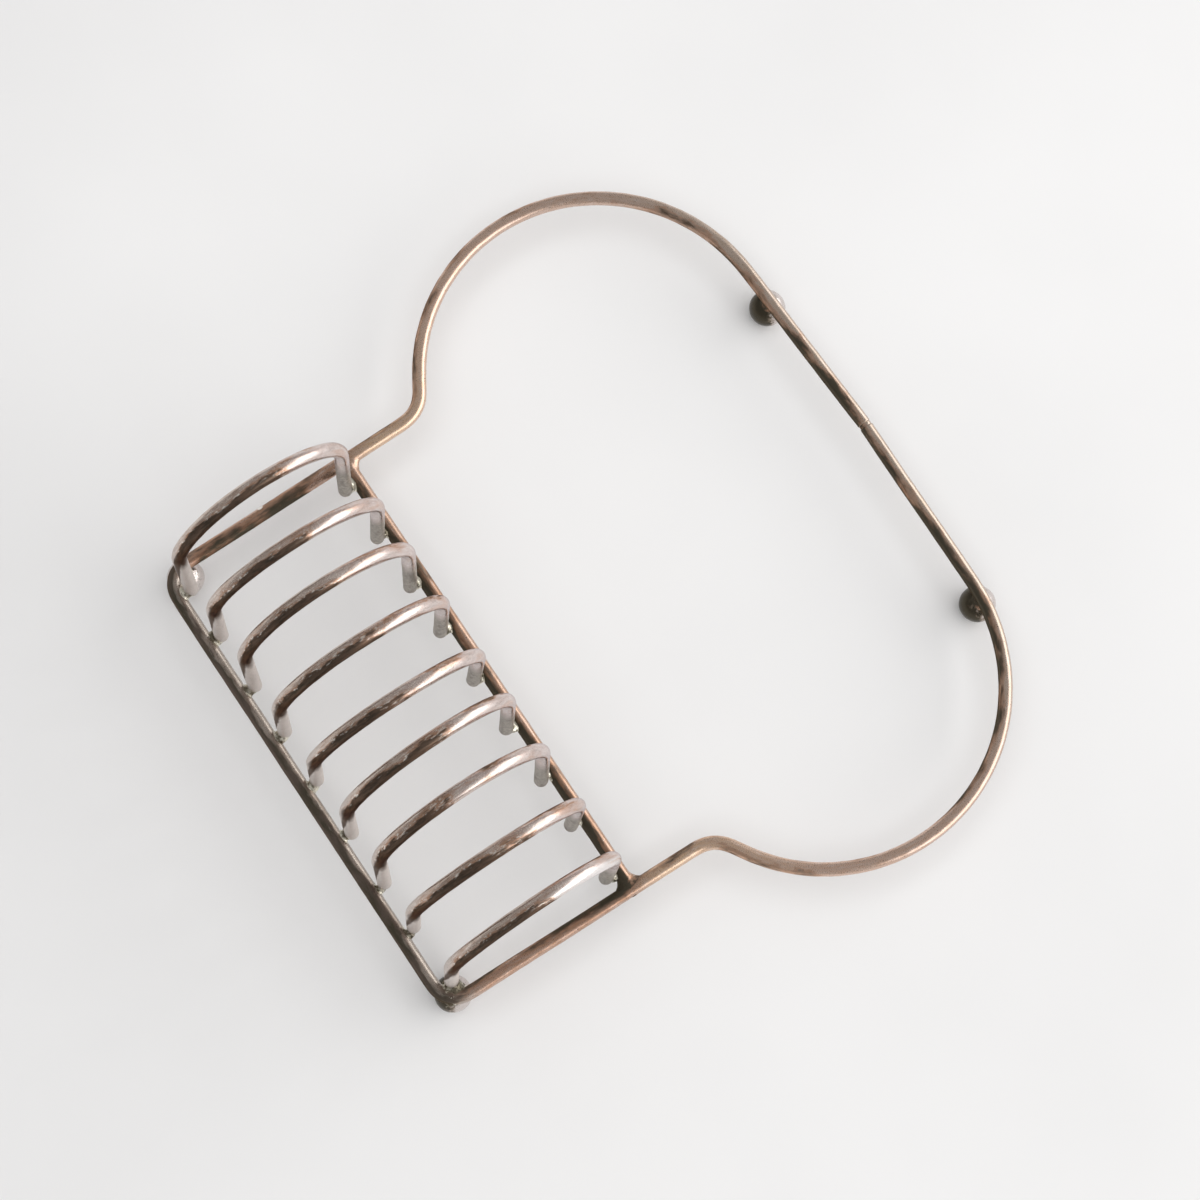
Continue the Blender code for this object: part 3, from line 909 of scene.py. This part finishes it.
WINDOW_SIDE = math.radians(55)  # direction of the light, from +X towards +Y
WINDOW_HEIGHT = math.radians(25)
WINDOW_DISTANCE = 1.6
WINDOW_SIZE = (3.6, 1.15)
WINDOW_POWER = 21.0
CEILING_HEIGHT = 1.8
CEILING_SIZE = 2.4
CEILING_POWER = 19.5
ROOM_STRENGTH = 1.25
BACKGROUND = 0.80  # how bright the room's walls look behind the rack
FLOOR_SIZE = 12.0
FLOOR_FADE = 1.5  # the distance at which the floor has faded into the background
CAMERA_TILT = math.radians(11.676)  # from straight down
CAMERA_SIDE = math.radians(-52.24)  # direction of that tilt, from +X towards +Y
CAMERA_TOP = math.radians(146.02)  # direction of the picture's top, from +X towards +Y
CAMERA_DISTANCE = 0.7168
CAMERA_AIM = (0.0003, 0.0016)  # what the picture's middle shows, in the base wire's plane
CAMERA_HALF_VIEW = math.radians(11.88866)
SENSOR_WIDTH = 36.0


def direction(side, height):
    return Vector((math.cos(side) * math.cos(height), math.sin(side) * math.cos(height), math.sin(height)))


def build_stage():
    """A pale floor that fades into the background far away from the rack."""
    bpy.ops.mesh.primitive_plane_add(size=FLOOR_SIZE, location=(0, 0, 0))
    floor = bpy.context.object
    floor.name = "floor"
    n = new_material("pale_floor")
    cloud = n.noise(n.place(0.004, 5.0), detail=4.0)
    n.put(n.shader.inputs["Specular IOR Level"], 0.25)
    colour = n.mix(n.rise(cloud, 0.35, 0.65), FLOOR_GREY, FLOOR_PALE)
    floor.data.materials.append(n.finish(colour, 0.0, 0.75))
    away = n.math("DIVIDE", n.vector_math("LENGTH", n.object_place()), FLOOR_FADE)
    seen = n.add("ShaderNodeLightPath").outputs["Is Camera Ray"]
    fade = n.add("ShaderNodeMixShader", Fac=n.times(n.rise(away, 0.25, 1.0), seen))
    n.put(fade.inputs[1], n.shader.outputs[0])
    n.put(fade.inputs[2], n.add("ShaderNodeEmission", Color=(BACKGROUND,) * 3).outputs[0])
    n.put(n.tree.nodes["Material Output"].inputs["Surface"], fade.outputs[0])


def area_light(name, power, size):
    """An area light that the camera doesn't see."""
    light = bpy.data.lights.new(name, "AREA")
    light.shape = "RECTANGLE"
    light.size, light.size_y = size
    light.energy = power
    lamp = bpy.data.objects.new(name, light)
    lamp.visible_camera = False
    bpy.context.scene.collection.objects.link(lamp)
    return lamp


def build_light():
    """A long low window, and soft light from the ceiling that the metal doesn't mirror."""
    towards = direction(WINDOW_SIDE, WINDOW_HEIGHT)
    window = area_light("window", WINDOW_POWER, WINDOW_SIZE)
    window.data.color = (1.0, 0.99, 0.975)
    window.location = towards * WINDOW_DISTANCE
    window.rotation_mode = "QUATERNION"
    window.rotation_quaternion = towards.to_track_quat("Z", "Y")
    ceiling = area_light("ceiling_bounce", CEILING_POWER, (CEILING_SIZE, CEILING_SIZE))
    ceiling.location = (0, 0, CEILING_HEIGHT)
    ceiling.visible_glossy = False


def build_world():
    """A room that is dim on one side, mid-grey overhead and bright on the window's side."""
    world = bpy.data.worlds.new("room")
    bpy.context.scene.world = world
    n = Nodes(world)
    n.tree.nodes.clear()
    where = n.add("ShaderNodeTexCoord").outputs["Generated"]
    towards_window = n.scaled(n.vector_math("DOT_PRODUCT", where, direction(WINDOW_SIDE, 0)), 0.5, 0.5)
    sides = n.ramp(
        towards_window,
        (0.0, (0.30, 0.295, 0.29)),
        (0.50, (0.34, 0.335, 0.33)),
        (0.80, (0.50, 0.49, 0.48)),
        (0.97, (0.85, 0.84, 0.83)),
    )
    room = n.mix(n.rise(n.split(where)["Z"], 0.35, 0.95), sides, (0.35, 0.345, 0.34))
    seen = n.add("ShaderNodeLightPath").outputs["Is Camera Ray"]
    shown = n.mix(seen, room, (BACKGROUND / ROOM_STRENGTH,) * 3)
    background = n.add("ShaderNodeBackground", Color=shown, Strength=ROOM_STRENGTH)
    n.add("ShaderNodeOutputWorld", Surface=background.outputs[0])


def build_camera():
    low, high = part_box("base_wire")
    aim = Vector((*CAMERA_AIM, (low.z + high.z) / 2))
    back = direction(CAMERA_SIDE, math.pi / 2 - CAMERA_TILT)
    right = direction(CAMERA_TOP, 0).cross(back).normalized()
    turned = Matrix((right, back.cross(right), back)).transposed()
    lens = bpy.data.cameras.new("camera")
    lens.sensor_width = SENSOR_WIDTH
    lens.lens = SENSOR_WIDTH / 2 / math.tan(CAMERA_HALF_VIEW)
    lens.clip_start, lens.clip_end = 0.01, 50.0
    camera = bpy.data.objects.new("camera", lens)
    camera.matrix_world = Matrix.Translation(aim + back * CAMERA_DISTANCE) @ turned.to_4x4()
    bpy.context.scene.collection.objects.link(camera)
    bpy.context.scene.camera = camera


wire_lines = build_wires()
build_solder(wire_lines, ball_feet())
build_stage()
build_light()
build_world()
build_camera()
bpy.context.scene.view_settings.view_transform = "Standard"
